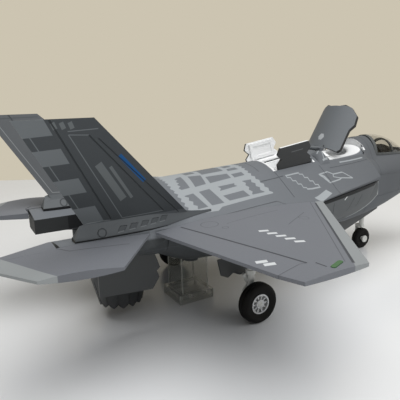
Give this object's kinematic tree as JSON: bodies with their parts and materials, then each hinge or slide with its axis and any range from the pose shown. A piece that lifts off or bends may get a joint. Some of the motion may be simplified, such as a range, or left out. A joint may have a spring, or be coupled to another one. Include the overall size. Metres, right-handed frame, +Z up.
{
  "type": "toy airplane",
  "caption": "Die-cast style grey twin-fin jet toy with open lift-fan and inlet doors, swivelling tail nozzle, moving tailplanes, rolling wheels and a clear display stand.",
  "frame": {"origin": "on the ground, at the middle of the bounding box", "axes": "+X towards the nose, +Y to the left wing, +Z up"},
  "size_m": [0.2168, 0.1484, 0.069],
  "materials": {
    "body_paint": "satin grey enamel on die-cast metal, fine panel lines",
    "wing_paint": "satin grey enamel on die-cast metal",
    "fin_paint": "dark grey satin enamel",
    "fan_door_paint": "satin grey moulded plastic",
    "dark_door_paint": "dark grey satin moulded plastic",
    "white_liner": "satin white moulded plastic",
    "pale_plastic": "satin off-white moulded plastic",
    "cockpit_black": "matt black moulded plastic",
    "canopy_glass": "clear smoke-tinted moulded plastic",
    "canopy_frame_paint": "dark grey satin paint",
    "rotor_metal": "metallic grey moulded plastic",
    "pin_steel": "plain steel",
    "nozzle_dark": "near-black satin moulded plastic",
    "tyre_rubber": "black rubber",
    "hub_silver": "silver painted moulded plastic",
    "red_lens": "glossy red paint",
    "green_lens": "glossy green paint",
    "clear_stand": "clear moulded acrylic"
  },
  "bodies": {
    "airframe": {"upper_shell": "body_paint", "lower_shell_front": "body_paint", "lower_shell_rear": "body_paint", "nose_cone": "body_paint", "tail_deck": "body_paint", "left_wing": "wing_paint", "right_wing": "wing_paint", "left_intake": "body_paint", "right_intake": "body_paint", "left_boom": "body_paint", "right_boom": "body_paint", "left_fin": "fin_paint", "right_fin": "fin_paint", "cockpit_tub": "cockpit_black", "pilot_seat": "cockpit_black", "instrument_panel": "cockpit_black", "canopy_hinge_pin": "pin_steel", "fan_tray": "white_liner", "fan_duct": "pale_plastic", "fan_door_pin": "pin_steel", "aux_tray": "white_liner", "aux_hinge_pins": "pin_steel", "engine_bearing": "nozzle_dark", "left_nozzle_door": "dark_door_paint", "right_nozzle_door": "dark_door_paint", "left_main_leg": "pale_plastic", "right_main_leg": "pale_plastic", "nose_leg": "pale_plastic", "left_gear_door": "pale_plastic", "right_gear_door": "pale_plastic", "nose_gear_doors": "body_paint", "left_nav_light": "red_lens", "right_nav_light": "green_lens", "shell_screws": "pin_steel", "display_stand": "clear_stand"},
    "fan_door": {"fan_door": "fan_door_paint"},
    "left_aux_door": {"left_aux_door": "dark_door_paint", "left_aux_liner": "white_liner"},
    "right_aux_door": {"right_aux_door": "dark_door_paint", "right_aux_liner": "white_liner"},
    "canopy": {"canopy_glass": "canopy_glass", "canopy_frame": "canopy_frame_paint"},
    "fan_rotor": {"fan_rotor": "rotor_metal"},
    "left_tailplane": {"left_tailplane": "wing_paint"},
    "right_tailplane": {"right_tailplane": "wing_paint"},
    "nozzle_front": {"nozzle_front_duct": "nozzle_dark"},
    "nozzle_mid": {"nozzle_mid_duct": "nozzle_dark"},
    "nozzle_rear": {"nozzle_rear_duct": "nozzle_dark"},
    "left_wheel": {"left_main_tyre": "tyre_rubber", "left_main_hub": "hub_silver"},
    "right_wheel": {"right_main_tyre": "tyre_rubber", "right_main_hub": "hub_silver"},
    "nose_wheel": {"nose_tyre": "tyre_rubber", "nose_hub": "hub_silver"}
  },
  "joints": [
    {"name": "fan_door_hinge", "type": "hinge", "parent": "airframe", "child": "fan_door", "pos_m": [0.0254, 0, 0.05115], "axis": [0, 1, 0], "range_deg": [0, 53]},
    {"name": "left_aux_door_hinge", "type": "hinge", "parent": "airframe", "child": "left_aux_door", "pos_m": [0.0054, 0.0091, 0.0468], "axis": [0.9903, 0, 0.1392], "range_deg": [0, 84.3]},
    {"name": "right_aux_door_hinge", "type": "hinge", "parent": "airframe", "child": "right_aux_door", "pos_m": [0.0054, -0.0091, 0.0468], "axis": [-0.9903, 0, -0.1392], "range_deg": [0, 84.3]},
    {"name": "canopy_hinge", "type": "hinge", "parent": "airframe", "child": "canopy", "pos_m": [0.0811, 0, 0.04672], "axis": [0, 1, 0], "range_deg": [0, 35]},
    {"name": "fan_rotor_spin", "type": "hinge", "parent": "airframe", "child": "fan_rotor", "pos_m": [0.035, 0, 0.036], "axis": [0, 0, 1], "continuous": true},
    {"name": "left_tailplane_pivot", "type": "hinge", "parent": "airframe", "child": "left_tailplane", "pos_m": [-0.0816, 0.025, 0.0336], "axis": [0, 1, 0], "range_deg": [-15, 15]},
    {"name": "right_tailplane_pivot", "type": "hinge", "parent": "airframe", "child": "right_tailplane", "pos_m": [-0.0816, -0.025, 0.0336], "axis": [0, 1, 0], "range_deg": [-15, 15]},
    {"name": "nozzle_bearing_1", "type": "hinge", "parent": "airframe", "child": "nozzle_front", "pos_m": [-0.0516, 0, 0.034], "axis": [-1, 0, 0], "range_deg": [-90, 0]},
    {"name": "nozzle_bearing_2", "type": "hinge", "parent": "nozzle_front", "child": "nozzle_mid", "pos_m": [-0.0566, 0, 0.034], "axis": [-0.9239, 0, -0.3827], "range_deg": [0, 180]},
    {"name": "nozzle_bearing_3", "type": "hinge", "parent": "nozzle_mid", "child": "nozzle_rear", "pos_m": [-0.06438, 0, 0.02622], "axis": [-0.3827, 0, -0.9239], "range_deg": [-180, 0]},
    {"name": "left_wheel_spin", "type": "hinge", "parent": "airframe", "child": "left_wheel", "pos_m": [-0.0281, 0.0305, 0.00685], "axis": [0, 1, 0], "continuous": true},
    {"name": "right_wheel_spin", "type": "hinge", "parent": "airframe", "child": "right_wheel", "pos_m": [-0.0281, -0.0305, 0.00685], "axis": [0, 1, 0], "continuous": true},
    {"name": "nose_wheel_spin", "type": "hinge", "parent": "airframe", "child": "nose_wheel", "pos_m": [0.0588, 0, 0.00495], "axis": [0, 1, 0], "continuous": true}
  ],
  "couplings": [
    {"joint": "nozzle_bearing_1", "follows": "nozzle_bearing_2", "ratio": -0.5},
    {"joint": "nozzle_bearing_3", "follows": "nozzle_bearing_2", "ratio": -1}
  ]
}
